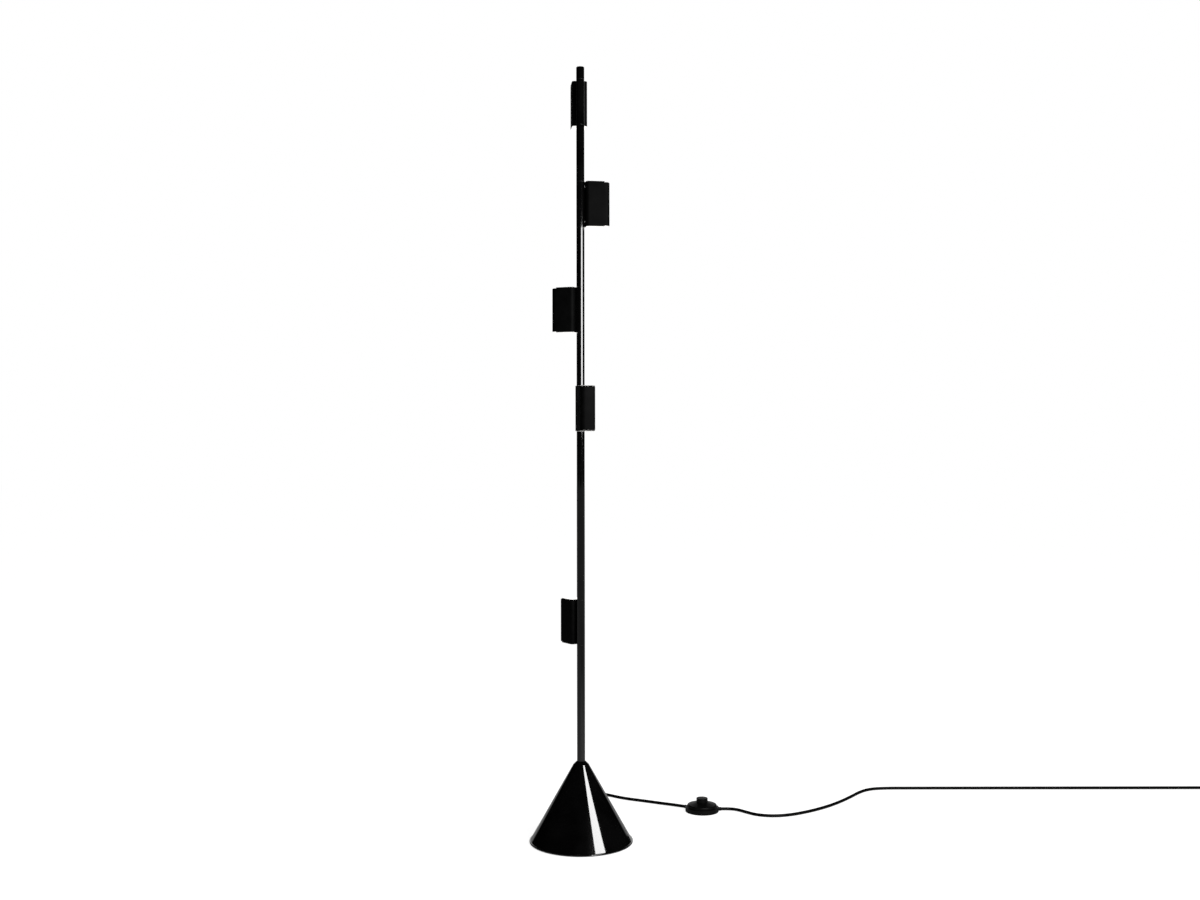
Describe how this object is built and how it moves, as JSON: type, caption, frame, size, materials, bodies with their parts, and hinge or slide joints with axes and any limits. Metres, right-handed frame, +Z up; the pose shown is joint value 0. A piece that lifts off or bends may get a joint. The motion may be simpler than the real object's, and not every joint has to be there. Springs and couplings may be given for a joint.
{
  "type": "pole lamp",
  "caption": "Slim floor lamp: small box-shaped light heads turn round a straight pole that stands on a weighted cone base, with a mains cord, a round foot switch and a plug.",
  "frame": {"origin": "on the floor at the pole's axis, the middle of the round base's underside", "axes": "+Z up along the pole; -Y towards the side the lamp is seen from; +X to its right, where the cord leads away"},
  "size_m": [1.6107, 0.5023, 1.533],
  "materials": {
    "pole_black": "gloss black lacquer",
    "head_black": "matte black powder coat",
    "opal": "opal, translucent, lit",
    "steel": "plain zinc-plated steel",
    "ballast": "rough cast, blackened",
    "aluminium": "extruded, clear anodised",
    "board": "white solder mask",
    "driver": "white moulded case",
    "rubber_black": "matte black rubber",
    "cord_black": "matte black cord sheath",
    "plastic_black": "fine-textured black moulding",
    "pins": "nickel-plated brass",
    "nylon": "black nylon",
    "wire": "silicone insulation"
  },
  "bodies": {
    "stand": {"floor_pad": "rubber_black", "base_plate": "pole_black", "base_screws": "steel", "stem_hub": "steel", "ballast_weight": "ballast", "cone_shell": "pole_black", "cable_gland": "rubber_black", "led_driver": "driver", "core_tube": "steel", "pole_finial": "pole_black", "friction_washers": "nylon", "wiring_harness": "wire", "switch_base": "plastic_black", "switch_cover": "plastic_black", "cord_lead": "cord_black", "cord_run": "cord_black", "cord_coil": "cord_black", "plug_body": "plastic_black", "plug_pins": "pins", "pole_section_1": "pole_black", "pole_section_2": "pole_black", "pole_section_3": "pole_black", "pole_section_4": "pole_black", "pole_section_5": "pole_black"},
    "head_1": {"head_1_bracket": "pole_black", "head_1_shell": "head_black", "head_1_nose": "head_black", "head_1_heat_sink": "aluminium", "head_1_led_boards": "board", "head_1_diffusers": "opal", "head_1_screws": "steel"},
    "head_2": {"head_2_bracket": "pole_black", "head_2_shell": "head_black", "head_2_nose": "head_black", "head_2_heat_sink": "aluminium", "head_2_led_boards": "board", "head_2_diffusers": "opal", "head_2_screws": "steel"},
    "head_3": {"head_3_bracket": "pole_black", "head_3_shell": "head_black", "head_3_nose": "head_black", "head_3_heat_sink": "aluminium", "head_3_led_boards": "board", "head_3_diffusers": "opal", "head_3_screws": "steel"},
    "head_4": {"head_4_bracket": "pole_black", "head_4_shell": "head_black", "head_4_nose": "head_black", "head_4_heat_sink": "aluminium", "head_4_led_boards": "board", "head_4_diffusers": "opal", "head_4_screws": "steel"},
    "head_5": {"head_5_bracket": "pole_black", "head_5_shell": "head_black", "head_5_nose": "head_black", "head_5_heat_sink": "aluminium", "head_5_led_boards": "board", "head_5_diffusers": "opal", "head_5_screws": "steel"},
    "button": {"switch_button": "plastic_black"}
  },
  "joints": [
    {"name": "head_1_swivel", "type": "hinge", "parent": "stand", "child": "head_1", "pos_m": [0, 0, 1.4631], "axis": [0, 0, 1], "range_deg": [-170, 170]},
    {"name": "head_2_swivel", "type": "hinge", "parent": "stand", "child": "head_2", "pos_m": [0, 0, 1.2615], "axis": [0, 0, 1], "range_deg": [-170, 170]},
    {"name": "head_3_swivel", "type": "hinge", "parent": "stand", "child": "head_3", "pos_m": [0, 0, 1.0537], "axis": [0, 0, 1], "range_deg": [-170, 170]},
    {"name": "head_4_swivel", "type": "hinge", "parent": "stand", "child": "head_4", "pos_m": [0, 0, 0.8581], "axis": [0, 0, 1], "range_deg": [-170, 170]},
    {"name": "head_5_swivel", "type": "hinge", "parent": "stand", "child": "head_5", "pos_m": [0, 0, 0.4357], "axis": [0, 0, 1], "range_deg": [-170, 170]},
    {"name": "button_press", "type": "slide", "parent": "stand", "child": "button", "axis": [0, 0, -1], "range_m": [0, 0.0025], "stiffness_N_per_m": 600, "springref_m": -0.001}
  ]
}
